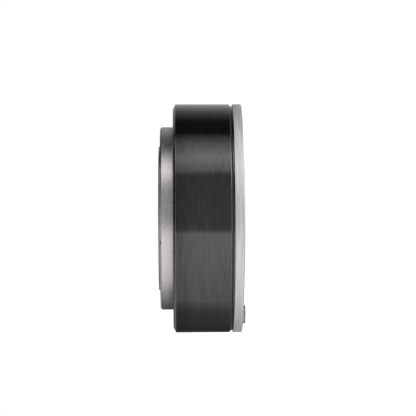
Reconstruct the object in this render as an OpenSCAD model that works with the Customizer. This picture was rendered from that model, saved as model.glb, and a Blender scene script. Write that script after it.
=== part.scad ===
// Strain wave gear with a built-in crossed roller bearing, all sizes in mm.
// The axis is Z. Z = 0 is the outer face of the flexspline's flange, where the gear bolts to a housing.
// The wave generator and the output face look up, along +Z.

/* [Overall] */
// Outside diameter of the bearing's outer ring and of the flexspline's flange
outer_d = 70; // [69:0.5:72]
// Thickness of the flexspline's flange
flange_t = 2.7; // [2.4:0.1:3]
// Width of the bearing's outer ring
ring_w = 18.1; // [17.6:0.1:19]
// Outside diameter of the circular spline
output_d = 56; // [55.5:0.1:56.2]
// Height of the output face above the outer ring
output_rise = 3.9; // [3.5:0.1:4.5]
// Height of the wave generator above the output face
wave_rise = 0.5; // [0.3:0.05:1.2]

/* [Outer ring] */
// Width of the shallow groove beside the flange
groove_w = 1.1; // [0.9:0.1:1.5]
// Depth of that groove
groove_depth = 0.65; // [0.5:0.05:0.8]
// Chamfer between that groove and the ring's outside
groove_chamfer = 0.5; // [0.2:0.05:0.5]
// Length of the front edge's chamfer along the axis
front_chamfer_len = 0.75; // [0.5:0.05:1.2]
// Depth of the front edge's chamfer
front_chamfer_depth = 1.5; // [0.6:0.1:1.6]
// Bore of the outer ring
ring_bore_d = 56.4; // [56.4:0.1:56.6]

/* [Fasteners] */
// Circle of the bolts that hold the gear in its housing
bolt_circle_d = 64; // [63.6:0.1:64.2]
// Holes for those bolts
bolt_hole_d = 3.4; // [3.2:0.1:3.5]
// How many bolts hold the gear in its housing
bolt_count = 8; // [4, 8]
// Direction of the first of the two screws that join the flange to the ring
screw_angle = 23; // [20:1:30]
// Circle of those two screws
screw_circle_d = 62.8; // [62.4:0.1:62.8]
// How far their heads stand out of the flange
screw_head_rise = 0.75; // [0.6:0.05:1.1]
// Circle of the threaded holes in the output face
output_circle_d = 51.6; // [51.4:0.1:51.6]
// How many threaded holes the output face has
output_tap_count = 12; // [6, 12]
// Circle of the threaded holes in the wave generator's hub
hub_circle_d = 20; // [19.6:0.1:20.4]
// How many threaded holes the hub has
hub_tap_count = 6; // [3, 6]
// Core of an M3 thread
m3_core_d = 2.5; // [2.45:0.01:2.55]

/* [Teeth] */
// Teeth on the flexspline, in fours so that both ends of the wave fall on a tooth
flex_teeth = 100; // [96:4:104]
// Module of both sets of teeth
tooth_module = 0.45; // [0.44:0.005:0.455]
// Flank angle of both sets of teeth
flank_angle = 22; // [20:1:24]
// Length of the flexspline's toothed rim
rim_len = 8.4; // [7.5:0.1:8.6]

/* [Crossed rollers] */
// How many rollers, an even number because they cross in turn
roller_count = 54; // [48:2:54]
// Diameter of a roller
roller_d = 2; // [1.8:0.1:2]
// Circle of the rollers' centres
roller_circle_d = 55.8; // [55.7:0.05:55.9]
// Height of the rollers' centres
roller_z = 10; // [9.5:0.1:10]

/* [Wave generator] */
// Bore of the hub
hub_bore_d = 14; // [10:0.5:14]
// Balls in the flexible bearing
ball_count = 23; // [17:1:23]
// Diameter of a ball
ball_d = 3.6; // [3.3:0.1:3.6]
// Width of the flexible bearing's outer ring
flex_race_w = 8; // [7.5:0.1:8]

/* [Hidden] */
$fn = 96;
small_fn = 32;

// Finishes
black_oxide = "#1b1c1e";
turned_steel = "#8d8e90";
ground_steel = "#b4b6b8";
race_steel = "#9fa2a6";
screw_black = "#232427";
seal_rubber = "#101113";
cage_resin = "#c9b48a";

over = 0.5;                 // how far a cut runs past the face it opens
outer_r = outer_d / 2;
output_r = output_d / 2;
bolt_r = bolt_circle_d / 2;
output_bolt_r = output_circle_d / 2;

// Levels along the axis
ring_z = flange_t;
ring_top = ring_z + ring_w;
output_z = ring_top + output_rise;
wave_top = output_z + wave_rise;

// Teeth: the circular spline has two more than the flexspline, and the wave lifts them into mesh
spline_teeth = flex_teeth + 2;
flex_pitch_r = flex_teeth * tooth_module / 2;
spline_pitch_r = spline_teeth * tooth_module / 2;
wave = spline_pitch_r - flex_pitch_r;
tooth_half = 0.31 * tooth_module / 0.45;
space_half = PI * tooth_module / 2 - tooth_half;
flex_tip = 0.35;
flex_root = 0.4;
spline_tip = 0.3;
spline_root = 0.45;

// Flexspline
wall_t = 0.4;
flex_root_r = flex_pitch_r - flex_root;
flex_bore_r = flex_root_r - wall_t;
rim_top = output_z - 0.3;
rim_z = rim_top - rim_len;
flange_inner_r = 28.5;
diaphragm_z = 0.9;
diaphragm_t = 0.5;
roll_rise = 0.4;            // how far the diaphragm's roll stands out of the flange
roll_r = 26.7;              // outer radius of that roll
roll_slope = 0.7;           // radial length of the slope behind it
wall_bend = 2.6;            // radius from the wall into the roll, inside
wall_seat = 0.1;            // how deep each end of the wall sinks into its neighbour
flange_chamfer = 0.25;
edge_chamfer = 0.5;

// Output side
spline_w = 9.2;
spline_z = output_z - spline_w;
inner_ring_z = 3.9;
inner_ring_bore_r = 23.3;
inner_ring_r = 27.6;

// Crossed rollers: square grooves on edge, a little larger than the rollers
roller_r = roller_d / 2;
roller_len = roller_d - 0.1;
roller_play = 0.05;
roller_circle_r = roller_circle_d / 2;
groove_reach = (roller_r + roller_play) * sqrt(2);
roller_step = 360 / roller_count;

// Seals
seal_r = 30.1;
seal_z = ring_top - 1.8;
seal_t = 1.6;
lip_gap = 0.05;
flange_o_ring_r = 29.2;
flange_o_ring_t = 0.65;
spline_o_ring_r = 24.3;
spline_o_ring_t = 0.5;

// Filling plug, halfway between two bolts on the side away from the first screw
plug_angle = screw_angle + 90;
plug_r = 2;
plug_pin_r = 0.6;
plug_pin_circle_r = 32;
plug_pin_foot = roller_z - 4;

// Low-head M3 screws through the flange
m3_r = 1.5;
m3_clear_r = 1.6;
m3_head_r = 2.75;
m3_head_h = 2;
m3_recess_r = 2.95;
m3_recess = m3_head_h - screw_head_rise;
m3_len = 8;
m3_hex = 2;

// M2 cap screws and pins that join the circular spline to the bearing's inner ring
m2_core_r = 0.8;
m2_clear_r = 1.05;
m2_head_r = 1.9;
m2_head_h = 2;
m2_recess_r = 2;
m2_len = 10;
m2_hex = 1.5;
m2_count = 6;
m2_angle = 15;
m2_head_z = output_z - m2_head_h - 0.1;
dowel_r = 1;
dowel_foot = 12;
dowel_top = output_z - 0.4;
dowel_angle = 45;
tap_depth = 6.5;

// Flexible ball bearing and its cam
race_gap = 0.04;            // running gap between the bearing and the flexspline
race_z = wave_top - flex_race_w;
outer_race_r = flex_bore_r - race_gap;
outer_race_bore_r = 20.2;
ball_circle_r = 18.85;
ball_z = race_z + flex_race_w / 2 - 0.25;
ball_play = 0.05;
inner_race_r = 17.5;
cam_r = 16.05;
plate_t = 1;
plate_z = wave_top - plate_t;
plate_r = 17.1;
hub_r = 12.3;
cam_shoulder_t = 0.8;
cam_shoulder_r = 17.2;
cam_z = race_z - cam_shoulder_t;
hub_tap_angle = 30;
plate_screw_circle_r = 14.75;
plate_screw_count = 6;
m1_core_r = 0.65;
m1_head_r = 1.5;
m1_head_h = 0.95;
m1_len = 5;
m1_hex = 0.9;
cage_inner_r = 18.2;
cage_outer_r = 19.5;
cage_z = ball_z - 2.6;
cage_h = 4.1;
pocket_r = ball_d / 2 + 0.07;

// ---------------------------------------------------------------- shared forms

// An angle in degrees for an arc of this length at this radius
function arc_angle(len, r) = len / r * 180 / PI;

// A point on a circle of radius r that carries two crests of height w, without stretching its line
function wave_point(r, a, w) =
    let (b = a - arc_angle(w / 2, r) * sin(2 * a))
    (r + w * cos(2 * a)) * [cos(b), sin(b)];

// A point beside a tooth's own centre line, t across it and h out from the pitch line
function tooth_point(r, a, w, t, h) =
    let (n = a + arc_angle(1.5 * w, r) * sin(2 * a))
    wave_point(r, a, w) + h * [cos(n), sin(n)] + t * [-sin(n), cos(n)];

// A gear outline: the same short profile repeated at every tooth
function gear_outline(teeth, r, w, profile) = [
    for (i = [0 : teeth - 1])
        for (p = profile)
            tooth_point(r, i * 360 / teeth, w, p[0], p[1])
];

// A closed curve at radius r on the wave, in step with the flexspline's teeth
function wave_outline(r, w) = [
    for (i = [0 : flex_teeth - 1]) wave_point(r, i * 360 / flex_teeth, w)
];

// One tooth or one space, symmetrical about its centre line
function flank(half, low, high) =
    let (
        slope = tan(flank_angle),
        side = [[half - low * slope, low], [half, 0], [half - high * slope, high]]
    )
    concat(
        [for (p = side) [-p[0], p[1]]],
        [for (i = [2 : -1 : 0]) side[i]]
    );

// A quarter circle of points from angle a to angle b about a centre
function arc_points(centre, r, a, b, steps) = [
    for (i = [0 : steps])
        let (t = a + (b - a) * i / steps)
        centre + r * [cos(t), sin(t)]
];

// A section of [r, z] points swept round the wave, with its own crest height for each point
module wave_sweep(section, crests) {
    n = len(section);
    steps = flex_teeth;
    points = [
        for (i = [0 : steps - 1])
            for (j = [0 : n - 1])
                let (p = wave_point(section[j][0], i * 360 / steps, crests[j]))
                [p[0], p[1], section[j][1]]
    ];
    faces = [
        for (i = [0 : steps - 1])
            for (j = [0 : n - 1])
                let (
                    i2 = (i + 1) % steps,
                    j2 = (j + 1) % n
                )
                each [
                    [i * n + j, i * n + j2, i2 * n + j2],
                    [i * n + j, i2 * n + j2, i2 * n + j]
                ]
    ];
    polyhedron(points = points, faces = faces, convexity = 6);
}

// A section swept at one crest height
module wave_ring(section) {
    wave_sweep(section, [for (p = section) wave]);
}

// Children repeated round the axis at a radius
module around(count, r, first = 0) {
    for (i = [0 : count - 1])
        rotate([0, 0, first + i * 360 / count])
            translate([r, 0, 0])
                children();
}

// A cut round hole from z up by length len
module hole(r, z, len) {
    translate([0, 0, z]) cylinder(r = r, h = len, $fn = small_fn);
}

// The six-sided recess of a socket screw, across flats af, opening at z = 0 and going up
module hex_socket(af, depth) {
    translate([0, 0, -over])
        cylinder(r = af / sqrt(3), h = depth + over, $fn = 6);
}

// A square bar of the groove's size, on edge, as a section at the rollers' circle
module roller_groove_section() {
    translate([roller_circle_r, roller_z])
        rotate(45)
            square(groove_reach * sqrt(2), center = true);
}

// ---------------------------------------------------------------- fixed side

// Outer ring's section: relief beside the flange, plain outside, front chamfer, seal seat
module outer_ring_section() {
    bore_r = ring_bore_d / 2;
    polygon([
        [bore_r, ring_z],
        [outer_r - groove_depth, ring_z],
        [outer_r - groove_depth, ring_z + groove_w - groove_chamfer],
        [outer_r - groove_chamfer, ring_z + groove_w - groove_chamfer],
        [outer_r, ring_z + groove_w],
        [outer_r, ring_top - front_chamfer_len],
        [outer_r - front_chamfer_depth, ring_top],
        [seal_r, ring_top],
        [seal_r, seal_z],
        [bore_r, seal_z]
    ]);
}

// The ring and the plug share one outline, so the plug's end carries the rollers' groove on
module outer_ring_body() {
    rotate_extrude()
        difference() {
            outer_ring_section();
            roller_groove_section();
        }
}

module plug_hole(r) {
    rotate([0, 0, plug_angle])
        translate([ring_bore_d / 2 - over, 0, roller_z])
            rotate([0, 90, 0])
                cylinder(r = r, h = outer_r, $fn = small_fn);
}

module outer_ring() {
    color(black_oxide)
        difference() {
            outer_ring_body();
            around(bolt_count, bolt_r, screw_angle + 180 / bolt_count)
                hole(bolt_hole_d / 2, ring_z - over, ring_w + 2 * over);
            around(2, screw_circle_d / 2, screw_angle)
                hole(m3_core_d / 2, ring_z - over, m3_len + over);
            plug_hole(plug_r);
            rotate([0, 0, plug_angle])
                translate([plug_pin_circle_r, 0, 0])
                    hole(plug_pin_r, plug_pin_foot, ring_top - plug_pin_foot + over);
            translate([0, 0, ring_z - over])
                rotate_extrude()
                    translate([flange_o_ring_r - flange_o_ring_t / 2 - 0.1, 0])
                        square([flange_o_ring_t + 0.2, flange_o_ring_t + over]);
        }
}

// Closes the hole through which the rollers are loaded
module filling_plug() {
    color(black_oxide)
        difference() {
            intersection() {
                outer_ring_body();
                plug_hole(plug_r);
            }
            rotate([0, 0, plug_angle])
                translate([plug_pin_circle_r, 0, 0])
                    hole(plug_pin_r, plug_pin_foot, ring_top);
        }
}

// Locks the filling plug from the ring's front face
module plug_pin() {
    color(ground_steel)
        rotate([0, 0, plug_angle])
            translate([plug_pin_circle_r, 0, 0])
                hole(plug_pin_r, plug_pin_foot, ring_top - plug_pin_foot - 0.1);
}

// Flange, diaphragm, its roll and the bend into the wall, as one turned section
module flex_foot() {
    bend_r = wall_bend - diaphragm_t;
    bend_centre = [flex_bore_r + wall_bend, wall_bend - roll_rise];
    roll_foot = roll_r + roll_slope;
    rotate_extrude()
        polygon(concat(
            arc_points(bend_centre, wall_bend, 180, 270, 6),
            [
                [roll_r - roll_rise, -roll_rise],
                [roll_r, 0],
                [roll_foot, diaphragm_z],
                [flange_inner_r - edge_chamfer, diaphragm_z],
                [flange_inner_r, 0],
                [outer_r - flange_chamfer, 0],
                [outer_r, flange_chamfer],
                [outer_r, flange_t],
                [flange_inner_r + 2 * edge_chamfer, flange_t],
                [flange_inner_r, diaphragm_z + 2 * diaphragm_t],
                [roll_foot - diaphragm_t / 2, diaphragm_z + diaphragm_t],
                [roll_r - roll_rise, diaphragm_t - roll_rise]
            ],
            arc_points(bend_centre, bend_r, 270, 180, 6)
        ));
}

// Thin wall that starts round at the foot and ends on the wave at the toothed rim
module flex_wall() {
    low = wall_bend - roll_rise - wall_seat;
    high = rim_z + wall_seat;
    inset = 0.03;
    wave_sweep(
        [
            [flex_bore_r + inset, low],
            [flex_root_r + wall_seat - inset, low],
            [flex_root_r - inset, high],
            [flex_bore_r + inset, high]
        ],
        [0, 0, wave, wave]
    );
}

module flex_rim() {
    translate([0, 0, rim_z])
        linear_extrude(rim_len)
            difference() {
                polygon(gear_outline(
                    flex_teeth, flex_pitch_r, wave, flank(tooth_half, -flex_root, flex_tip)
                ));
                polygon(wave_outline(flex_bore_r, wave));
            }
}

module flexspline() {
    color(ground_steel)
        difference() {
            union() {
                flex_foot();
                flex_wall();
                flex_rim();
            }
            around(bolt_count, bolt_r, screw_angle + 180 / bolt_count)
                hole(bolt_hole_d / 2, -over, flange_t + 2 * over);
            around(2, screw_circle_d / 2, screw_angle) {
                hole(m3_clear_r, -over, flange_t + 2 * over);
                hole(m3_recess_r, -over, m3_recess + over);
            }
        }
}

// Two low-head screws that hold flange and ring together until the gear is mounted
module flange_screws() {
    color(screw_black)
        around(2, screw_circle_d / 2, screw_angle)
            difference() {
                union() {
                    hole(m3_head_r, -screw_head_rise, m3_head_h);
                    hole(m3_core_d / 2 - 0.02, m3_recess, m3_len);
                }
                translate([0, 0, -screw_head_rise])
                    hex_socket(m3_hex, 1.2);
            }
}

module flange_o_ring() {
    color(seal_rubber)
        translate([0, 0, ring_z + flange_o_ring_t / 2])
            rotate_extrude()
                translate([flange_o_ring_r, 0])
                    circle(d = flange_o_ring_t, $fn = small_fn);
}

// Rubber seal pressed into the ring, with a lip that runs on the circular spline
module dust_seal() {
    lip_r = output_r + lip_gap;
    color(seal_rubber)
        rotate_extrude()
            polygon([
                [seal_r, seal_z],
                [seal_r, seal_z + seal_t],
                [lip_r + 0.9, seal_z + seal_t],
                [lip_r, seal_z + seal_t - 0.3],
                [lip_r, seal_z + seal_t - 0.5],
                [lip_r + 0.6, seal_z + 0.6],
                [lip_r + 0.6, seal_z]
            ]);
}

// ---------------------------------------------------------------- output side

module circular_spline() {
    color(turned_steel)
        difference() {
            rotate_extrude()
                polygon([
                    [spline_pitch_r - 1.5, spline_z],
                    [output_r - 0.2, spline_z],
                    [output_r, spline_z + 0.2],
                    [output_r, output_z - edge_chamfer],
                    [output_r - edge_chamfer, output_z],
                    [spline_pitch_r - 1.5, output_z]
                ]);
            translate([0, 0, spline_z - over])
                linear_extrude(spline_w + 2 * over)
                    polygon(gear_outline(
                        spline_teeth, spline_pitch_r, 0,
                        flank(space_half, -spline_tip, spline_root)
                    ));
            around(output_tap_count, output_bolt_r)
                hole(m3_core_d / 2, output_z - tap_depth, tap_depth + over);
            around(m2_count, output_bolt_r, m2_angle) {
                hole(m2_recess_r, m2_head_z, output_z - m2_head_z + over);
                hole(m2_clear_r, spline_z - over, spline_w);
            }
            around(2, output_bolt_r, dowel_angle)
                hole(dowel_r, spline_z - over, spline_w + 2 * over);
        }
}

// Inner ring of the crossed roller bearing, screwed behind the circular spline
module bearing_inner_ring() {
    color(race_steel)
        difference() {
            rotate_extrude()
                difference() {
                    polygon([
                        [inner_ring_bore_r, inner_ring_z],
                        [inner_ring_r - 0.3, inner_ring_z],
                        [inner_ring_r, inner_ring_z + 0.3],
                        [inner_ring_r, spline_z],
                        [inner_ring_bore_r, spline_z]
                    ]);
                    roller_groove_section();
                    translate([
                        spline_o_ring_r - spline_o_ring_t / 2 - 0.1,
                        spline_z - spline_o_ring_t
                    ])
                        square([spline_o_ring_t + 0.2, 2 * spline_o_ring_t]);
                }
            around(m2_count, output_bolt_r, m2_angle)
                hole(m2_core_r, m2_head_z - m2_len - 0.2, m2_len);
            around(2, output_bolt_r, dowel_angle)
                hole(dowel_r, dowel_foot, spline_z);
        }
}

module spline_screws() {
    color(screw_black)
        around(m2_count, output_bolt_r, m2_angle)
            difference() {
                union() {
                    hole(m2_head_r, m2_head_z, m2_head_h);
                    hole(m2_core_r - 0.02, m2_head_z - m2_len, m2_len + 0.1);
                }
                translate([0, 0, m2_head_z + m2_head_h])
                    mirror([0, 0, 1])
                        hex_socket(m2_hex, 1);
            }
}

module dowel_pins() {
    color(ground_steel)
        around(2, output_bolt_r, dowel_angle)
            hole(dowel_r - 0.01, dowel_foot, dowel_top - dowel_foot);
}

module spline_o_ring() {
    color(seal_rubber)
        translate([0, 0, spline_z - spline_o_ring_t / 2])
            rotate_extrude()
                translate([spline_o_ring_r, 0])
                    circle(d = spline_o_ring_t, $fn = small_fn);
}

// ---------------------------------------------------------------- crossed rollers

// The axis of a roller leans 45 degrees, one way and then the other
module roller_shape(i, r, len) {
    rotate([0, 0, i * roller_step])
        translate([roller_circle_r, 0, roller_z])
            rotate([0, i % 2 == 0 ? 45 : -45, 0])
                cylinder(r = r, h = len, center = true, $fn = small_fn);
}

module cross_rollers() {
    color(race_steel)
        for (i = [0 : roller_count - 1])
            roller_shape(i, roller_r, roller_len);
}

// A small block between two rollers, hollowed where each of them rolls
module roller_spacers() {
    side = roller_d - 0.2;
    thickness = 1.5;
    color(cage_resin)
        for (i = [0 : roller_count - 1])
            difference() {
                rotate([0, 0, (i + 0.5) * roller_step])
                    translate([roller_circle_r, 0, roller_z])
                        rotate([0, 45, 0])
                            cube([side, thickness, side], center = true);
                roller_shape(i, roller_r + roller_play, 2 * roller_d);
                roller_shape(i + 1, roller_r + roller_play, 2 * roller_d);
            }
}

// ---------------------------------------------------------------- wave generator

// The cam: an oval body with a shoulder behind the bearing and a round hub in front
module wave_cam() {
    hub_bore_r = hub_bore_d / 2;
    color(ground_steel)
        difference() {
            union() {
                translate([0, 0, cam_z])
                    linear_extrude(cam_shoulder_t)
                        polygon(wave_outline(cam_shoulder_r, wave));
                translate([0, 0, cam_z])
                    linear_extrude(plate_z - cam_z)
                        polygon(wave_outline(cam_r, wave));
                translate([0, 0, cam_z])
                    cylinder(r = hub_r, h = wave_top - cam_z);
            }
            hole(hub_bore_r, cam_z - over, wave_top - cam_z + 2 * over);
            translate([0, 0, cam_z])
                bore_chamfer(hub_bore_r);
            translate([0, 0, wave_top])
                mirror([0, 0, 1])
                    bore_chamfer(hub_bore_r);
            around(hub_tap_count, hub_circle_d / 2, hub_tap_angle)
                hole(m3_core_d / 2, cam_z - over, wave_top - cam_z + 2 * over);
            around(plate_screw_count, plate_screw_circle_r)
                hole(m1_core_r, plate_z - m1_len, m1_len + over);
        }
}

// A 45 degree chamfer at a bore's lower mouth
module bore_chamfer(r) {
    depth = 0.4;
    translate([0, 0, -over])
        cylinder(r1 = r + depth + over, r2 = r, h = depth + over);
}

// Section of a thin race, with small chamfers and a ball groove in the side that faces the balls
function race_section(back_r, face_r, low, high) =
    let (
        groove_r = ball_d / 2 + ball_play,
        out = face_r < back_r ? -1 : 1,
        reach = abs(face_r - ball_circle_r),
        half = acos(reach / groove_r),
        edge = 0.25,
        arc = [
            for (i = [-3 : 3])
                let (t = half * i / 3)
                [ball_circle_r - out * groove_r * cos(t), ball_z + groove_r * sin(t)]
        ]
    )
    concat(
        [[back_r, high - edge], [back_r, low + edge], [back_r + out * edge, low]],
        [[face_r - out * edge, low], [face_r, low + edge]],
        arc,
        [[face_r, high - edge], [face_r - out * edge, high], [back_r + out * edge, high]]
    );

module flex_outer_race() {
    color(race_steel)
        wave_ring(race_section(outer_race_r, outer_race_bore_r, race_z, wave_top));
}

module flex_inner_race() {
    section = race_section(cam_r, inner_race_r, race_z, plate_z);
    color(race_steel)
        wave_ring([for (i = [len(section) - 1 : -1 : 0]) section[i]]);
}

module bearing_balls() {
    color(ground_steel)
        for (i = [0 : ball_count - 1]) {
            p = wave_point(ball_circle_r, i * 360 / ball_count, wave);
            translate([p[0], p[1], ball_z])
                sphere(d = ball_d, $fn = small_fn);
        }
}

// A crown cage: a ring behind the balls with fingers that hold them, open to the front
module ball_cage() {
    color(cage_resin)
        difference() {
            translate([0, 0, cage_z])
                linear_extrude(cage_h)
                    difference() {
                        polygon(wave_outline(cage_outer_r, wave));
                        polygon(wave_outline(cage_inner_r, wave));
                    }
            for (i = [0 : ball_count - 1]) {
                a = i * 360 / ball_count;
                p = wave_point(ball_circle_r, a, wave);
                translate([p[0], p[1], ball_z])
                    rotate([0, 90, a])
                        cylinder(r = pocket_r, h = ball_d, center = true, $fn = small_fn);
            }
        }
}

// Holds the inner race on the cam
module retaining_plate() {
    color(turned_steel)
        difference() {
            translate([0, 0, plate_z])
                linear_extrude(plate_t)
                    polygon(wave_outline(plate_r, wave));
            hole(hub_r + 0.05, plate_z - over, plate_t + 2 * over);
            around(plate_screw_count, plate_screw_circle_r) {
                hole(m1_core_r + 0.2, plate_z - over, plate_t + 2 * over);
                countersink(0.05);
            }
        }
}

// The cone of a flat head that ends flush with the wave generator's face
module countersink(play) {
    translate([0, 0, wave_top - m1_head_h])
        cylinder(r1 = m1_core_r + 0.1, r2 = m1_head_r + play, h = m1_head_h, $fn = small_fn);
}

module plate_screws() {
    color(screw_black)
        around(plate_screw_count, plate_screw_circle_r)
            difference() {
                union() {
                    countersink(-0.02);
                    hole(m1_core_r - 0.02, plate_z - m1_len + 0.2, m1_len);
                }
                translate([0, 0, wave_top])
                    mirror([0, 0, 1])
                        hex_socket(m1_hex, 0.6);
            }
}

outer_ring();
filling_plug();
plug_pin();
flexspline();
flange_screws();
flange_o_ring();
dust_seal();
circular_spline();
bearing_inner_ring();
spline_screws();
dowel_pins();
spline_o_ring();
cross_rollers();
roller_spacers();
wave_cam();
flex_inner_race();
flex_outer_race();
bearing_balls();
ball_cage();
retaining_plate();
plate_screws();
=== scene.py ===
import math

import bmesh
import bpy
from mathutils import Matrix, Vector


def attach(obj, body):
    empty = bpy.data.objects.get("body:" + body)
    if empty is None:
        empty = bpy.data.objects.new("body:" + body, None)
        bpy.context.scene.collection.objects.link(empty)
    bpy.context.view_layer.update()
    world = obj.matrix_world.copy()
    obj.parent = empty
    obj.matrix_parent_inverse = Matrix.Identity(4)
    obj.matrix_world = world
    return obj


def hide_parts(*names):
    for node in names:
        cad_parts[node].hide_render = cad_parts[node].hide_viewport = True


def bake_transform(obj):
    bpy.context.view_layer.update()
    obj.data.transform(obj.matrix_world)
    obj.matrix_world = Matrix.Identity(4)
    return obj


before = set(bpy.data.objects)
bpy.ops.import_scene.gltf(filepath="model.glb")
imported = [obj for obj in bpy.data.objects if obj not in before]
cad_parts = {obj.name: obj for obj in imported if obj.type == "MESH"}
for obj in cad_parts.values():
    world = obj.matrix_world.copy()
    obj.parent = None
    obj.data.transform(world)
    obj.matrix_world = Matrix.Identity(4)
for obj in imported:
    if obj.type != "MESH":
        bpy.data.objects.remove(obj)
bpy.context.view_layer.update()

MM = 0.001
FULL = 2 * math.pi
ROUND_STEPS = 180       # facets round a turned part
HOLE_STEPS = 32         # facets round a drilled hole

# Levels along the axis, in mm from the flange's outer face
FLANGE_TOP = 2.7
RING_TOP = 20.8
OUTPUT_FACE = 24.7
WAVE_TOP = 25.2
SPLINE_FOOT = 15.5
CAM_FOOT = 16.4
RACE_FOOT = 17.2
PLATE_FOOT = 24.2
RIM_FOOT = 16.0
RIM_TOP = 24.4
SEAL_FOOT = 19.0
ROLLER_Z = 10.0
ROLL_RISE = 0.4         # the diaphragm's roll stands this far out of the flange
SCREW_RISE = 0.75       # and the two low heads this far

# Radii in mm
OUTER_R = 35.0
RING_BORE_R = 28.2
OUTPUT_R = 28.0
FLEX_BORE_R = 21.7
FLEX_ROOT_R = 22.1
BALL_CIRCLE_R = 18.85
BALL_Z = 20.95

# Teeth: half a tooth's thickness on the pitch line, and how far its root and tip lie from that line
WAVE = 0.45             # height of the two crests that bend the toothed rim
TOOTH_MODULE = 0.45
FLEX_TEETH = 100
FLEX_PITCH_R = FLEX_TEETH * TOOTH_MODULE / 2
FLEX_HALF, FLEX_ROOT, FLEX_TIP = 0.31, -0.4, 0.35
SPLINE_TEETH = 102
SPLINE_PITCH_R = SPLINE_TEETH * TOOTH_MODULE / 2
SPACE_HALF, SPLINE_TIP, SPLINE_ROOT = 0.397, -0.3, 0.45
FLANK_SLOPE = math.tan(math.radians(22))
BALL_COUNT = 23

# Holes in mm, and their circles' radii
BOLT_HOLE_R = 1.7
TAP_R = 1.25
PIN_HOLE_R = 0.62
COUNTERBORE = 2.1       # depth of the seats for the small cap screws
HOUSING_CIRCLE_R = 32
SCREW_CIRCLE_R = 31.4
OUTPUT_CIRCLE_R = 25.8
HUB_CIRCLE_R = 10
PLATE_CIRCLE_R = 14.75

# Angles in degrees from the wave generator's long diameter at rest
SCREW_ANGLE = 23
PLUG_ANGLE = SCREW_ANGLE + 90
BOLT_FIRST = SCREW_ANGLE + 22.5
CAP_FIRST = 15
DOWEL_FIRST = 45


# ---------------------------------------------------------------- shop tools

def turned(section, steps=ROUND_STEPS):
    """A closed section of (radius, height) corners in mm, turned once round the axis"""
    blank = bmesh.new()
    corners = [blank.verts.new((r * MM, 0, z * MM)) for r, z in section]
    for before, corner in zip(corners[-1:] + corners[:-1], corners):
        if before.co.x > 0 or corner.co.x > 0:
            blank.edges.new((before, corner))
    bmesh.ops.spin(
        blank, geom=blank.verts[:] + blank.edges[:], cent=(0, 0, 0), axis=(0, 0, 1),
        angle=FULL, steps=steps, use_merge=True,
    )
    return closed(blank)


def closed(blank):
    """Merges doubled points and turns every face outwards"""
    bmesh.ops.remove_doubles(blank, verts=blank.verts[:], dist=1e-7)
    bmesh.ops.dissolve_degenerate(blank, edges=blank.edges[:], dist=1e-8)
    bmesh.ops.recalc_face_normals(blank, faces=blank.faces[:])
    return blank


def break_edges(blank, size, segments=2, sharper_than=40):
    """Takes the burr off every edge that is sharper than this many degrees"""
    limit = math.radians(sharper_than)
    sharp = [
        edge for edge in blank.edges
        if len(edge.link_faces) == 2 and edge.calc_face_angle() > limit
    ]
    bmesh.ops.bevel(
        blank, geom=sharp, offset=size * MM, offset_type="OFFSET", segments=segments,
        profile=0.5, affect="EDGES", clamp_overlap=True, material=-1,
    )
    return blank


def mesh_from(blank, name):
    mesh = bpy.data.meshes.new(name)
    blank.to_mesh(mesh)
    blank.free()
    return mesh


def joined(blanks):
    """Several blanks as one"""
    whole = bmesh.new()
    for blank in blanks:
        mesh = mesh_from(blank, "part")
        whole.from_mesh(mesh)
        bpy.data.meshes.remove(mesh)
    return whole


def machine(blank, tool, operation="DIFFERENCE"):
    """The blank after the tool has cut it"""
    work = bpy.data.objects.new("work", mesh_from(blank, "work"))
    cutter = bpy.data.objects.new("cutter", mesh_from(tool, "cutter"))
    for item in (work, cutter):
        bpy.context.scene.collection.objects.link(item)
    step = work.modifiers.new("cut", "BOOLEAN")
    step.operation = operation
    step.solver = "EXACT"
    step.object = cutter
    bpy.context.view_layer.update()
    done = bmesh.new()
    done.from_mesh(work.evaluated_get(bpy.context.evaluated_depsgraph_get()).to_mesh())
    for item in (work, cutter):
        mesh = item.data
        bpy.data.objects.remove(item)
        bpy.data.meshes.remove(mesh)
    bmesh.ops.remove_doubles(done, verts=done.verts[:], dist=1e-7)
    return done


def around(blank, count, radius, first=0.0):
    """Copies of a blank round the axis, at a radius in mm and from a first angle in degrees"""
    bmesh.ops.translate(blank, verts=blank.verts[:], vec=(radius * MM, 0, 0))
    bmesh.ops.rotate(
        blank, verts=blank.verts[:], cent=(0, 0, 0), matrix=Matrix.Rotation(math.radians(first), 3, "Z")
    )
    if count > 1:
        bmesh.ops.spin(
            blank, geom=blank.verts[:] + blank.edges[:] + blank.faces[:], cent=(0, 0, 0), axis=(0, 0, 1),
            angle=FULL * (count - 1) / count, steps=count - 1, use_duplicate=True,
        )
    return blank


def drill(r, low, high, low_mouth=0.0, high_mouth=0.0, steps=HOLE_STEPS):
    """A drill in mm that also chamfers its mouths: a mouth of 0 leaves that end inside the metal"""
    past = 0.5
    section = [(0, low), (r, low)]
    if low_mouth:
        section = [(0, low - past), (r + low_mouth + past, low - past), (r, low + low_mouth)]
    if high_mouth:
        section += [(r, high - high_mouth), (r + high_mouth + past, high + past), (0, high + past)]
    else:
        section += [(r, high), (0, high)]
    return turned(section, steps)


def hex_key(across, low, high):
    """A six-sided prism in mm for a socket"""
    key = bmesh.new()
    bmesh.ops.create_cone(
        key, cap_ends=True, segments=6, radius1=across / math.sqrt(3) * MM,
        radius2=across / math.sqrt(3) * MM, depth=(high - low) * MM,
        matrix=Matrix.Translation((0, 0, (low + high) / 2 * MM)),
    )
    return key


def wave_place(r, angle, crest):
    """Where a point of a thin ring goes when two crests bend it oval, in metres"""
    turned_to = angle - crest / 2 / r * math.sin(2 * angle)
    reach = r + crest * math.cos(2 * angle)
    return reach * math.cos(turned_to), reach * math.sin(turned_to)


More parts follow.
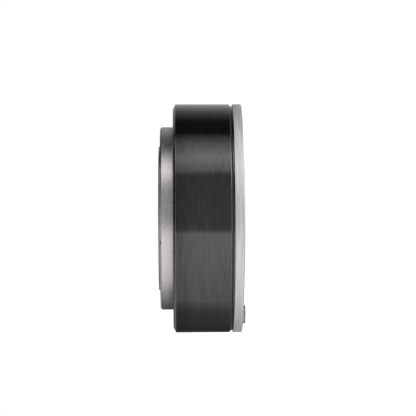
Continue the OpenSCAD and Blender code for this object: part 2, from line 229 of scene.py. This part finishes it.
def make_oval(blank, crest=WAVE, beyond=0.0):
    """Bends all that lies beyond a radius in mm; the crest's height in mm may depend on the level"""
    for vert in blank.verts:
        r = math.hypot(vert.co.x, vert.co.y)
        if r > beyond * MM:
            height = crest(vert.co.z / MM) if callable(crest) else crest
            angle = math.atan2(vert.co.y, vert.co.x)
            vert.co.x, vert.co.y = wave_place(r, angle, height * MM)
    return blank


def toothed_ring(teeth, pitch_r, half, low, high, edge_r, foot, top):
    """A ring in mm with teeth outside: one tooth's slice, copied round and raised"""
    step = FULL / teeth
    ring = bmesh.new()

    def polar(r, angle):
        return ring.verts.new((r * MM * math.cos(angle), r * MM * math.sin(angle), foot * MM))

    def beside(t, h):
        return ring.verts.new(((pitch_r + h) * MM, t * MM, foot * MM))

    sides = [(half - low * FLANK_SLOPE, low), (half, 0), (half - high * FLANK_SLOPE, high)]
    slice_edge = [polar(edge_r, -step / 2), polar(pitch_r + low, -step / 2)]
    slice_edge += [beside(-t, h) for t, h in sides]
    slice_edge += [beside(t, h) for t, h in reversed(sides)]
    slice_edge += [polar(pitch_r + low, step / 2), polar(edge_r, step / 2), polar(edge_r, 0)]
    ring.faces.new(slice_edge)
    around(ring, teeth, 0)
    bmesh.ops.remove_doubles(ring, verts=ring.verts[:], dist=1e-7)
    raised = bmesh.ops.extrude_face_region(ring, geom=ring.faces[:], use_keep_orig=True)
    moved = [item for item in raised["geom"] if isinstance(item, bmesh.types.BMVert)]
    bmesh.ops.translate(ring, verts=moved, vec=(0, 0, (top - foot) * MM))
    bmesh.ops.recalc_face_normals(ring, faces=ring.faces[:])
    return ring


def lean_teeth(ring, teeth, pitch_r, low, crest):
    """Moves each tooth as one with the bent pitch line, and bends what lies between and behind them"""
    step = FULL / teeth
    for vert in ring.verts:
        r = math.hypot(vert.co.x, vert.co.y)
        angle = math.atan2(vert.co.y, vert.co.x)
        centre = round(angle / step) * step
        between = abs(abs(angle - centre) - step / 2) < step / 50
        if between or r < (pitch_r + low) * MM - 1e-5:
            vert.co.x, vert.co.y = wave_place(r, angle, crest * MM)
            continue
        h = r * math.cos(angle - centre) - pitch_r * MM
        t = r * math.sin(angle - centre)
        x, y = wave_place(pitch_r * MM, centre, crest * MM)
        lean = centre + 1.5 * crest / pitch_r * math.sin(2 * centre)
        vert.co.x = x + h * math.cos(lean) - t * math.sin(lean)
        vert.co.y = y + h * math.sin(lean) + t * math.cos(lean)
    return ring


def piece(name, blank, material, body, node, smoother_than=32):
    """A finished blank as an object that rides on its body and stands for its CAD node"""
    mesh = mesh_from(blank, name)
    mesh.materials.append(material)
    for face in mesh.polygons:
        face.use_smooth = True
        face.material_index = 0
    mesh.set_sharp_from_angle(angle=math.radians(smoother_than))
    made = bpy.data.objects.new(name, mesh)
    bpy.context.scene.collection.objects.link(made)
    even = made.modifiers.new("even_shading", "WEIGHTED_NORMAL")
    even.mode = "FACE_AREA"
    even.keep_sharp = True
    if body:
        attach(made, body)
    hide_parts(node)
    return made


# ---------------------------------------------------------------- finishes

def tone(hex_colour):
    """An sRGB hex colour as linear light"""
    channels = [int(hex_colour[i:i + 2], 16) / 255 for i in (1, 3, 5)]
    return tuple(c / 12.92 if c <= 0.04045 else ((c + 0.055) / 1.055) ** 2.4 for c in channels) + (1,)


def add(tree, kind, inputs=None, **settings):
    """One node with its settings; each input is a value or another node's output"""
    node = tree.nodes.new("ShaderNode" + kind)
    for name, value in settings.items():
        setattr(node, name, value)
    for socket, value in (inputs or {}).items():
        if isinstance(value, bpy.types.NodeSocket):
            tree.links.new(value, node.inputs[socket])
        else:
            node.inputs[socket].default_value = value
    return node


def new_finish(name):
    made = bpy.data.materials.new(name)
    made.use_nodes = True
    made.node_tree.nodes.clear()
    return made


def close_finish(made, shader):
    add(made.node_tree, "OutputMaterial", {"Surface": shader.outputs[0]})
    return made


def lathe_marks(tree, width_mm, run=0.02, detail=3.0):
    """Fine rings round the axis, as a lathe leaves them; run is how soon a mark fades along its way"""
    place = add(tree, "TexCoord").outputs["Object"]
    split = add(tree, "SeparateXYZ", {0: place})
    flat = add(tree, "CombineXYZ", {0: split.outputs[0], 1: split.outputs[1]})
    radius = add(tree, "VectorMath", {0: flat.outputs[0]}, operation="LENGTH")
    way = add(tree, "VectorMath", {0: flat.outputs[0], 1: (run, run * 0.8, 0)}, operation="DOT_PRODUCT")
    rings = add(
        tree, "CombineXYZ",
        {0: radius.outputs["Value"], 1: split.outputs[2], 2: way.outputs["Value"]},
    )
    return add(
        tree, "TexNoise",
        {"Vector": rings.outputs[0], "Scale": 1 / (width_mm * MM), "Detail": detail, "Roughness": 0.6},
    ).outputs[0]


def grain(tree, size_mm, detail=3.0):
    """Even mottling of one size in mm"""
    place = add(tree, "TexCoord").outputs["Object"]
    return add(
        tree, "TexNoise",
        {"Vector": place, "Scale": 1 / (size_mm * MM), "Detail": detail, "Roughness": 0.55},
    ).outputs[0]


def spread(tree, value, low, high, out_low, out_high):
    """Stretches a 0 to 1 pattern from low..high to out_low..out_high"""
    return add(
        tree, "MapRange", {0: value, 1: low, 2: high, 3: out_low, 4: out_high}
    ).outputs[0]


def between(tree, share, dark, light):
    """A colour between two hex colours"""
    return add(
        tree, "Mix", {"Factor": share, 6: tone(dark), 7: tone(light)}, data_type="RGBA"
    ).outputs[2]


def relief(tree, pattern, depth_um):
    """The pattern as a fine relief of a depth in thousandths of a mm"""
    return add(
        tree, "Bump", {"Height": pattern, "Strength": 1.0, "Distance": depth_um * 1e-6}
    ).outputs[0]


def product(tree, *shares):
    """Several shares multiplied"""
    whole = shares[0]
    for share in shares[1:]:
        whole = add(tree, "Math", {0: whole, 1: share}, operation="MULTIPLY").outputs[0]
    return whole


def across_marks(tree):
    """The direction across lathe marks, in which they spread a highlight"""
    place = add(tree, "TexCoord").outputs["Object"]
    along = add(tree, "VectorMath", {0: (0, 0, 1), 1: place}, operation="CROSS_PRODUCT")
    turned_along = add(
        tree, "VectorTransform", {0: along.outputs[0]},
        vector_type="VECTOR", convert_from="OBJECT", convert_to="WORLD",
    )
    normal = add(tree, "NewGeometry").outputs["Normal"]
    return add(
        tree, "VectorMath", {0: normal, 1: turned_along.outputs[0]}, operation="CROSS_PRODUCT"
    ).outputs[0]


def worn_and_lit_bands(tree, colour, bands):
    """The colour made paler in bands round the axis, by bare metal at worn edges and by painted light where a
    wide band stands for light falling stronger on one side: a level and half a width in mm, and a share
    """
    level = add(tree, "SeparateXYZ", {0: add(tree, "TexCoord").outputs["Object"]}).outputs[2]
    for centre, half, share in bands:
        off = add(tree, "Math", {0: level, 1: centre * MM}, operation="SUBTRACT").outputs[0]
        off = add(tree, "Math", {0: off}, operation="ABSOLUTE").outputs[0]
        worn_and_lit = spread(tree, off, half * MM * 0.6, half * MM, share, 0.0)
        colour = add(
            tree, "Mix", {"Factor": worn_and_lit, 6: colour, 7: tone("#b4b3b1")}, data_type="RGBA"
        ).outputs[2]
    return colour


def turned_metal(name, dark, light, rough, marks_mm, depth_um, stretch, mottle_mm=0.0, run=0.05, bands=()):
    """Turned steel: rings of lighter and darker metal, a little relief, and a highlight spread across them"""
    made = new_finish(name)
    tree = made.node_tree
    marks = lathe_marks(tree, marks_mm, run)
    pattern = spread(tree, marks, 0.3, 0.7, 0.0, 1.0)
    if mottle_mm:
        spots = spread(tree, grain(tree, mottle_mm), 0.35, 0.65, 0.0, 1.0)
        pattern = add(tree, "Math", {0: pattern, 1: spots}, operation="ADD").outputs[0]
        pattern = add(tree, "Math", {0: pattern, 1: 0.5}, operation="MULTIPLY").outputs[0]
    shader = add(
        tree, "BsdfPrincipled",
        {
            "Base Color": worn_and_lit_bands(tree, between(tree, pattern, dark, light), bands),
            "Metallic": 1.0,
            "Roughness": spread(tree, pattern, 0.0, 1.0, rough[0], rough[1]),
            "Anisotropic": stretch,
            "Tangent": across_marks(tree),
            "Normal": relief(tree, marks, depth_um),
        },
    )
    return close_finish(made, shader)


def plain_metal(name, dark, light, rough, grain_mm, depth_um, bands=()):
    """Ground, rolled or polished steel: an even fine grain"""
    made = new_finish(name)
    tree = made.node_tree
    spots = grain(tree, grain_mm)
    pattern = spread(tree, spots, 0.35, 0.65, 0.0, 1.0)
    shader = add(
        tree, "BsdfPrincipled",
        {
            "Base Color": worn_and_lit_bands(tree, between(tree, pattern, dark, light), bands),
            "Metallic": 1.0,
            "Roughness": spread(tree, pattern, 0.0, 1.0, rough[0], rough[1]),
            "Normal": relief(tree, spots, depth_um),
        },
    )
    return close_finish(made, shader)


def moulded(name, dark, light, rough, grain_mm, depth_um, ior):
    """Moulded rubber or resin: a non-metal with a fine skin"""
    made = new_finish(name)
    tree = made.node_tree
    spots = grain(tree, grain_mm)
    pattern = spread(tree, spots, 0.35, 0.65, 0.0, 1.0)
    shader = add(
        tree, "BsdfPrincipled",
        {
            "Base Color": between(tree, pattern, dark, light),
            "Roughness": spread(tree, pattern, 0.0, 1.0, rough[0], rough[1]),
            "IOR": ior,
            "Normal": relief(tree, spots, depth_um),
        },
    )
    return close_finish(made, shader)


# Black oxide on turned bearing steel: dark, satin, rubbed paler at its two edges, and painted a little paler
# near the flange as painted light, where more light falls on the ring
black_oxide = turned_metal(
    "black_oxide_steel", "#2d2d30", "#414144", (0.15, 0.21), 0.6, 6, 0.8, run=0.15,
    # The last band is painted light: the ring paler towards the flange, where more light falls on it
    bands=((FLANGE_TOP + 0.85, 0.35, 0.3), (RING_TOP - 0.75, 0.14, 0.3), (FLANGE_TOP, 20, 0.08)),
)
# Turned and phosphated steel of the output flange: mid grey, mottled, a little warm
phosphated = turned_metal("phosphated_steel", "#aaa6a7", "#d8d4d5", (0.2, 0.6), 0.4, 8, 0.5, mottle_mm=0.4)
# Fine ground alloy steel of the flexspline: matte silver
fine_ground = turned_metal("fine_ground_steel", "#bcbcbc", "#e0e0e0", (0.62, 0.72), 0.4, 5, 0.2, run=0.03)
# Bare turned steel of the cam and the plate: brighter, with plain rings
bare_turned = turned_metal("bare_turned_steel", "#a9abae", "#c6c8ca", (0.26, 0.36), 0.30, 6, 0.6)
# Hardened and ground race steel: smooth, a little darker
race_steel = turned_metal("ground_race_steel", "#87898c", "#9b9da0", (0.26, 0.36), 0.20, 2, 0.4)
# Polished balls and rollers: close to a mirror
polished = plain_metal("polished_ball_steel", "#c4c5c7", "#cccdcf", (0.05, 0.09), 0.8, 0.3)
# Ground dowel pins: satin, bare
ground_pin = plain_metal("ground_pin_steel", "#b0b1b3", "#c3c4c6", (0.22, 0.3), 0.3, 2)
# Blackened screws: dark grey, oily satin
screw_black = plain_metal("blackened_screw_steel", "#2c2d2f", "#3c3d40", (0.32, 0.45), 0.25, 6)
# The two low heads in the flange: the same black, handled bare round their sides
handled_black = plain_metal(
    "handled_screw_steel", "#3a3b3d", "#4c4d50", (0.32, 0.45), 0.25, 6, bands=((-0.15, 0.42, 0.75),)
)
# Nitrile rubber: black, matte, with a faint bloom
rubber = moulded("nitrile_rubber", "#141416", "#1f1f21", (0.55, 0.7), 0.5, 10, 1.52)
# Natural resin of the ball cage: cream, satin
cage_resin = moulded("natural_cage_resin", "#b79d6c", "#c7ae7e", (0.38, 0.5), 0.6, 8, 1.53)


# ---------------------------------------------------------------- fixed side

def ring_body():
    """The bearing's outer ring before drilling, with the rollers' groove in its bore"""
    groove = 1.185
    return turned([
        (RING_BORE_R, FLANGE_TOP), (OUTER_R - 0.65, FLANGE_TOP), (OUTER_R - 0.65, FLANGE_TOP + 0.6),
        (OUTER_R - 0.5, FLANGE_TOP + 0.6), (OUTER_R, FLANGE_TOP + 1.1), (OUTER_R, RING_TOP - 0.75),
        (OUTER_R - 1.5, RING_TOP), (30.1, RING_TOP), (30.1, SEAL_FOOT), (RING_BORE_R, SEAL_FOOT),
        (RING_BORE_R, ROLLER_Z + groove), (RING_BORE_R + groove, ROLLER_Z), (RING_BORE_R, ROLLER_Z - groove),
    ])


def across_ring(r):
    """A bar along the filling hole, square to the axis"""
    bar = bmesh.new()
    bmesh.ops.create_cone(
        bar, cap_ends=True, segments=HOLE_STEPS * 2, radius1=r * MM, radius2=r * MM, depth=12 * MM,
        matrix=Matrix.Rotation(math.radians(PLUG_ANGLE), 4, "Z")
        @ Matrix.Translation((33 * MM, 0, ROLLER_Z * MM)) @ Matrix.Rotation(math.pi / 2, 4, "Y"),
    )
    return bar


bolt_drill = drill(BOLT_HOLE_R, FLANGE_TOP, RING_TOP, 0.15, 0.2)
bolt_drill = around(bolt_drill, 8, HOUSING_CIRCLE_R, BOLT_FIRST)
tap_drill = around(drill(TAP_R, FLANGE_TOP, FLANGE_TOP + 8, 0.15), 2, SCREW_CIRCLE_R, SCREW_ANGLE)
pin_drill = around(drill(PIN_HOLE_R, 6, RING_TOP, 0, 0.08, 16), 1, HOUSING_CIRCLE_R, PLUG_ANGLE)
outer_ring = break_edges(ring_body(), 0.06, segments=1)
outer_ring = machine(outer_ring, joined([bolt_drill, tap_drill, pin_drill, across_ring(2.0)]))
piece("bearing_outer_ring", outer_ring, black_oxide, "housing_side", "outer_ring")

plug = machine(ring_body(), across_ring(1.97), "INTERSECT")
plug = machine(plug, around(drill(PIN_HOLE_R, 5, 15, 0, 0, 16), 1, HOUSING_CIRCLE_R, PLUG_ANGLE))
piece("roller_filling_plug", plug, black_oxide, "housing_side", "filling_plug")

pin = turned([(0, 6), (0.6, 6), (0.6, RING_TOP - 0.2), (0.5, RING_TOP - 0.1), (0, RING_TOP - 0.1)], 24)
pin = around(pin, 1, HOUSING_CIRCLE_R, PLUG_ANGLE)
piece("plug_lock_pin", pin, ground_pin, "housing_side", "plug_pin")

seal = turned([
    (30.1, SEAL_FOOT), (30.1, SEAL_FOOT + 1.6), (28.95, SEAL_FOOT + 1.6), (28.05, SEAL_FOOT + 1.3),
    (28.05, SEAL_FOOT + 1.1), (28.65, SEAL_FOOT + 0.6), (28.65, SEAL_FOOT),
])
piece("lip_seal", break_edges(seal, 0.08), rubber, "housing_side", "dust_seal")


def flexspline_blank():
    """Flange, diaphragm and thin wall as one turned skin, drilled, then the toothed rim on its end"""
    inside, outside = 2.6, 2.1
    bend_r, bend_z = FLEX_BORE_R + inside, inside - ROLL_RISE
    steps = 10
    wall_levels = [bend_z + i * (RIM_FOOT + 0.1 - bend_z) / 30 for i in range(1, 31)]

    def bend(radius):
        angles = [math.radians(180 + 90 * i / steps) for i in range(steps + 1)]
        return [(bend_r + radius * math.cos(a), bend_z + radius * math.sin(a)) for a in angles]

    section = [(FLEX_BORE_R, z) for z in reversed(wall_levels)]
    section += bend(inside)
    section += [
        (26.7 - ROLL_RISE, -ROLL_RISE), (26.7, 0), (27.4, 0.9), (28.0, 0.9), (28.5, 0),
        (OUTER_R - 0.25, 0), (OUTER_R, 0.25), (OUTER_R, FLANGE_TOP), (29.5, FLANGE_TOP),
        (28.5, 1.9), (27.15, 1.4), (26.7 - ROLL_RISE, 0.5 - ROLL_RISE),
    ]
    section += list(reversed(bend(outside)))
    section += [(FLEX_ROOT_R - 0.03, z) for z in wall_levels]
    skin = turned(section)
    holes = around(drill(BOLT_HOLE_R, 0, FLANGE_TOP, 0.2, 0.1), 8, HOUSING_CIRCLE_R, BOLT_FIRST)
    clear = around(drill(1.6, 0.3, FLANGE_TOP, 0, 0.1), 2, SCREW_CIRCLE_R, SCREW_ANGLE)
    seat = around(drill(2.95, -0.5, 2 - SCREW_RISE), 2, SCREW_CIRCLE_R, SCREW_ANGLE)
    skin = machine(skin, joined([holes, clear]))
    skin = machine(skin, seat)
    bent = RIM_FOOT + 0.1 - FLANGE_TOP
    make_oval(skin, crest=lambda z: WAVE * min(max((z - FLANGE_TOP) / bent, 0), 1))
    rim = toothed_ring(
        FLEX_TEETH, FLEX_PITCH_R, FLEX_HALF, FLEX_ROOT, FLEX_TIP, FLEX_BORE_R, RIM_FOOT, RIM_TOP
    )
    rim = lean_teeth(rim, FLEX_TEETH, FLEX_PITCH_R, FLEX_ROOT, WAVE)
    return joined([skin, rim])


flexspline = piece(
    "flanged_flexspline", flexspline_blank(), fine_ground, None, "flexspline"
)
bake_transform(flexspline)


def low_head_screw():
    top, seat, end = -SCREW_RISE, 2 - SCREW_RISE, 10 - SCREW_RISE
    head = turned([
        (0, top), (2.55, top), (2.75, top + 0.2), (2.75, seat), (1.23, seat), (1.23, end - 0.15),
        (1.1, end), (0, end),
    ], 48)
    return machine(head, hex_key(2.0, top - 1, top + 1.2))


screws = around(low_head_screw(), 2, SCREW_CIRCLE_R, SCREW_ANGLE)
piece("low_head_screws", screws, handled_black, "housing_side", "flange_screws")


# ---------------------------------------------------------------- output side

spline = turned([
    (21.45, SPLINE_FOOT), (OUTPUT_R - 0.2, SPLINE_FOOT), (OUTPUT_R, SPLINE_FOOT + 0.2),
    (OUTPUT_R, OUTPUT_FACE - 0.5), (OUTPUT_R - 0.5, OUTPUT_FACE), (21.45, OUTPUT_FACE),
])
# The spaces between its teeth are cut by a gear whose teeth are fuller than the flexspline's
space_cutter = toothed_ring(
    SPLINE_TEETH, SPLINE_PITCH_R, SPACE_HALF, SPLINE_TIP, SPLINE_ROOT, 20,
    SPLINE_FOOT - 1, OUTPUT_FACE + 1,
)
spline = machine(spline, space_cutter)
spline_drills = [
    around(drill(TAP_R, OUTPUT_FACE - 6.5, OUTPUT_FACE, 0, 0.25), 12, OUTPUT_CIRCLE_R),
    around(drill(2.0, OUTPUT_FACE - COUNTERBORE, OUTPUT_FACE, 0, 0.12), 6, OUTPUT_CIRCLE_R, CAP_FIRST),
    around(drill(1.0, SPLINE_FOOT, OUTPUT_FACE, 0.05, 0.1, 24), 2, OUTPUT_CIRCLE_R, DOWEL_FIRST),
]
spline = machine(spline, joined(spline_drills))
piece("toothed_output_ring", spline, phosphated, "output_side", "circular_spline")


def cap_screw():
    seat = OUTPUT_FACE - COUNTERBORE
    head = turned([
        (0, seat - 10), (0.65, seat - 10), (0.78, seat - 9.85), (0.78, seat), (1.9, seat), (1.9, seat + 1.8),
        (1.7, seat + 2), (0, seat + 2),
    ], HOLE_STEPS)
    return machine(head, hex_key(1.5, seat + 1, seat + 3))


cap_screws = around(cap_screw(), 6, OUTPUT_CIRCLE_R, CAP_FIRST)
piece("small_cap_screws", cap_screws, screw_black, "output_side", "spline_screws")
dowel_top = OUTPUT_FACE - 0.4
dowel = turned([
    (0, 12), (0.85, 12), (0.99, 12.15), (0.99, dowel_top - 0.15), (0.84, dowel_top), (0, dowel_top),
], 28)
dowels = around(dowel, 2, OUTPUT_CIRCLE_R, DOWEL_FIRST)
piece("dowels", dowels, ground_pin, "output_side", "dowel_pins")


# ---------------------------------------------------------------- wave generator

cam = turned([
    (7, CAM_FOOT + 0.4), (7.4, CAM_FOOT), (17.2, CAM_FOOT), (17.2, RACE_FOOT), (16.05, RACE_FOOT),
    (16.05, PLATE_FOOT), (12.3, PLATE_FOOT), (12.3, WAVE_TOP - 0.15), (12.15, WAVE_TOP), (7.4, WAVE_TOP),
    (7, WAVE_TOP - 0.4),
])
cam = machine(cam, around(drill(TAP_R, CAM_FOOT, WAVE_TOP, 0.25, 0.25), 6, HUB_CIRCLE_R, 30))
cam = machine(cam, around(drill(0.65, PLATE_FOOT - 5, PLATE_FOOT, 0, 0.05, 16), 6, PLATE_CIRCLE_R))
make_oval(cam, beyond=15.8)
piece("wave_cam_hub", cam, bare_turned, "wave_generator", "wave_cam")


def race_blank(back_r, face_r, low, high):
    """A thin race with a groove for the balls in its face"""
    out = -1 if face_r < back_r else 1
    groove_r = 1.85
    half = math.acos(abs(face_r - BALL_CIRCLE_R) / groove_r)
    edge = 0.25
    steps = 12
    groove = [
        (BALL_CIRCLE_R - out * groove_r * math.cos(t), BALL_Z + groove_r * math.sin(t))
        for t in [half * (2 * i / steps - 1) for i in range(steps + 1)]
    ]
    section = [
        (back_r, high - edge), (back_r, low + edge), (back_r + out * edge, low),
        (face_r - out * edge, low), (face_r, low + edge),
    ]
    section += groove
    section += [(face_r, high - edge), (face_r - out * edge, high), (back_r + out * edge, high)]
    return make_oval(turned(section))


piece(
    "thin_outer_race", race_blank(21.66, 20.2, RACE_FOOT, WAVE_TOP), race_steel,
    "wave_generator", "flex_outer_race",
)
piece(
    "thin_inner_race", race_blank(16.05, 17.5, RACE_FOOT, PLATE_FOOT), race_steel,
    "wave_generator", "flex_inner_race",
)

balls = bmesh.new()
for number in range(BALL_COUNT):
    ball_x, ball_y = wave_place(BALL_CIRCLE_R * MM, FULL * number / BALL_COUNT, WAVE * MM)
    bmesh.ops.create_uvsphere(
        balls, u_segments=32, v_segments=18, radius=1.8 * MM,
        matrix=Matrix.Translation((ball_x, ball_y, BALL_Z * MM)),
    )
piece("bearing_ball_set", balls, polished, "wave_generator", "bearing_balls")

cage = turned([
    (18.2, BALL_Z - 2.6), (19.5, BALL_Z - 2.6), (19.5, BALL_Z + 1.5), (18.2, BALL_Z + 1.5),
], BALL_COUNT * 8)
pocket = bmesh.new()
bmesh.ops.create_cone(
    pocket, cap_ends=True, segments=HOLE_STEPS, radius1=1.87 * MM, radius2=1.87 * MM, depth=3.6 * MM,
    matrix=Matrix.Translation((0, 0, BALL_Z * MM)) @ Matrix.Rotation(math.pi / 2, 4, "Y"),
)
cage = machine(cage, around(pocket, BALL_COUNT, BALL_CIRCLE_R))
piece("crown_cage", make_oval(cage), cage_resin, "wave_generator", "ball_cage")

plate = turned([
    (12.35, PLATE_FOOT), (17.1, PLATE_FOOT), (17.1, WAVE_TOP - 0.15), (16.95, WAVE_TOP),
    (12.45, WAVE_TOP), (12.35, WAVE_TOP - 0.1),
])
sink = turned([
    (0, PLATE_FOOT - 0.15), (0.85, PLATE_FOOT - 0.15), (0.85, PLATE_FOOT + 0.12), (1.53, WAVE_TOP),
    (1.53, WAVE_TOP + 0.35), (0, WAVE_TOP + 0.35),
], HOLE_STEPS)
plate = machine(plate, around(sink, 6, PLATE_CIRCLE_R))
piece(
    "race_retaining_plate", make_oval(plate, beyond=16.4), bare_turned,
    "wave_generator", "retaining_plate",
)


def flat_head_screw():
    head = turned([
        (0, WAVE_TOP - 5.8), (0.63, WAVE_TOP - 5.8), (0.63, PLATE_FOOT + 0.05), (0.73, PLATE_FOOT + 0.05),
        (1.48, WAVE_TOP - 0.03), (1.45, WAVE_TOP), (0, WAVE_TOP),
    ], HOLE_STEPS)
    return machine(head, hex_key(0.9, WAVE_TOP - 0.6, WAVE_TOP + 0.65))


piece(
    "flat_head_screws", around(flat_head_screw(), 6, PLATE_CIRCLE_R), screw_black,
    "wave_generator", "plate_screws",
)


# ---------------------------------------------------------------- solids that keep their CAD shape

for node, finish in {
    "bearing_inner_ring": race_steel,
    "cross_rollers": polished,
    "roller_spacers": cage_resin,
    "flange_o_ring": rubber,
    "spline_o_ring": rubber,
}.items():
    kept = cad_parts[node]
    kept.data.materials.clear()
    kept.data.materials.append(finish)


# ---------------------------------------------------------------- studio

def aim(item, place, target, up):
    """Stands an item at a place and points its front at a target"""
    back = (Vector(place) - Vector(target)).normalized()
    right = Vector(up).cross(back).normalized()
    turn = Matrix((right, back.cross(right), back)).transposed()
    item.matrix_world = Matrix.Translation(place) @ turn.to_4x4()


# The camera looks square to the axis, which lies level with the output side on the left
camera_data = bpy.data.cameras.new("camera")
camera_data.sensor_width = 36
camera_data.lens = 151.9
camera_data.clip_start = 0.01
camera = bpy.data.objects.new("camera", camera_data)
bpy.context.scene.collection.objects.link(camera)
aim(camera, (0, -0.54, 0.0182), (0.00314, 0, 0.01013), (1, 0, -0.0038))
bpy.context.scene.camera = camera
bpy.context.scene.view_settings.view_transform = "Standard"


def light_box(name, wide, long, watts, place, target=(0, 0, 0.012)):
    """A soft box in metres and watts that shines at the gear"""
    lamp = bpy.data.lights.new(name, "AREA")
    lamp.shape = "RECTANGLE"
    lamp.size = wide
    lamp.size_y = long
    lamp.energy = watts
    stand = bpy.data.objects.new(name, lamp)
    bpy.context.scene.collection.objects.link(stand)
    aim(stand, place, target, (0, 0, 1))


def round_gear(degrees, reach, level):
    """A place round the gear in metres, at an angle from the camera's side"""
    angle = math.radians(degrees)
    return reach * math.sin(angle), -reach * math.cos(angle), level


light_box("lower_box", 0.95, 0.8, 2.3, round_gear(-51.5, 0.6, 0.012))
light_box("flange_box", 0.4, 0.35, 1.3, round_gear(66, 0.45, -0.4))
light_box("overhead_box", 0.5, 0.5, 0.6, (0.0, -0.45, 0.6), target=(0, 0, 0.01))

world = bpy.data.worlds.new("studio")
bpy.context.scene.world = world
world.use_nodes = True
room = world.node_tree
room.nodes.clear()
seen = add(room, "LightPath").outputs["Is Camera Ray"]
towards = add(room, "SeparateXYZ", {0: add(room, "TexCoord").outputs["Generated"]})
across, away, rise = towards.outputs[0], towards.outputs[1], towards.outputs[2]


# The walls glow in soft grades: before the gear, over the output side, under the flange, and round both sides
level_band = product(
    room, spread(room, rise, 0.3, 0.55, 1.0, 0.0), spread(room, rise, -0.3, -0.55, 1.0, 0.0)
)
low_tilt = spread(room, rise, 0.15, -0.15, 0.4, 1.0)
before = spread(room, away, 0.0, -1.0, 0.06, 0.48)
over = product(room, spread(room, rise, 0.12, 0.5, 0.0, 0.4), spread(room, across, 0.05, -0.2, 0.0, 1.0))
beneath = spread(room, rise, -0.4, -0.9, 0.0, 0.8)
upper_side = product(
    room, spread(room, rise, 0.5, 0.7, 1.0, 0.0), spread(room, rise, -0.5, -0.7, 1.0, 0.0),
    spread(room, across, 0.0, 0.3, 0.0, 1.0), spread(room, away, 0.06, -0.48, 0.0, 1.8),
    spread(room, away, -0.44, -0.66, 1.0, 0.45), spread(room, away, -0.675, -0.70, 1.0, 0.0),
)
upper_rear = product(
    room, level_band, low_tilt, spread(room, across, -0.2, 0.1, 0.0, 1.0),
    spread(room, away, 0.4, 0.85, 0.0, 0.65),
)
lower_rear = product(
    room, level_band, spread(room, rise, 0.1, -0.2, 0.15, 1.2), spread(room, across, -0.2, -0.45, 0.0, 1.0),
    spread(room, away, 0.015, 0.04, 0.0, 1.0), spread(room, away, 0.0, 0.3, 1.5, 0.8),
    spread(room, away, 0.1, 0.85, 1.0, 0.0),
)
strength = before
for glow_part in (over, beneath, upper_side, upper_rear, lower_rear):
    strength = add(room, "Math", {0: strength, 1: glow_part}, operation="ADD").outputs[0]
walls = add(room, "Background", {"Color": (1, 1, 1, 1), "Strength": strength})
backdrop = add(room, "Background", {"Color": (1, 1, 1, 1), "Strength": 1.0})
both = add(room, "MixShader", {0: seen, 1: walls.outputs[0], 2: backdrop.outputs[0]})
add(room, "OutputWorld", {"Surface": both.outputs[0]})

# The floor is pale and lit from above. It shows its soft shadow, and adds no reflection to the metal.
floor_blank = bmesh.new()
bmesh.ops.create_grid(
    floor_blank, x_segments=1, y_segments=1, size=3.0,
    matrix=Matrix.Translation((0, 0, -(SCREW_RISE + 0.02) * MM)),
)
floor = bpy.data.objects.new("floor", mesh_from(floor_blank, "floor"))
bpy.context.scene.collection.objects.link(floor)
floor_finish = new_finish("pale_floor")
floor_tree = floor_finish.node_tree
paint = add(floor_tree, "BsdfDiffuse", {"Color": tone("#f4f4f4")})
glow = add(floor_tree, "Emission", {"Color": (1, 1, 1, 1), "Strength": 0.8})
lit = add(floor_tree, "AddShader", {0: paint.outputs[0], 1: glow.outputs[0]})
clear = add(floor_tree, "BsdfTransparent")
shown = add(floor_tree, "LightPath").outputs["Is Camera Ray"]
floor_shader = add(floor_tree, "MixShader", {0: shown, 1: clear.outputs[0], 2: lit.outputs[0]})
floor.data.materials.append(close_finish(floor_finish, floor_shader))
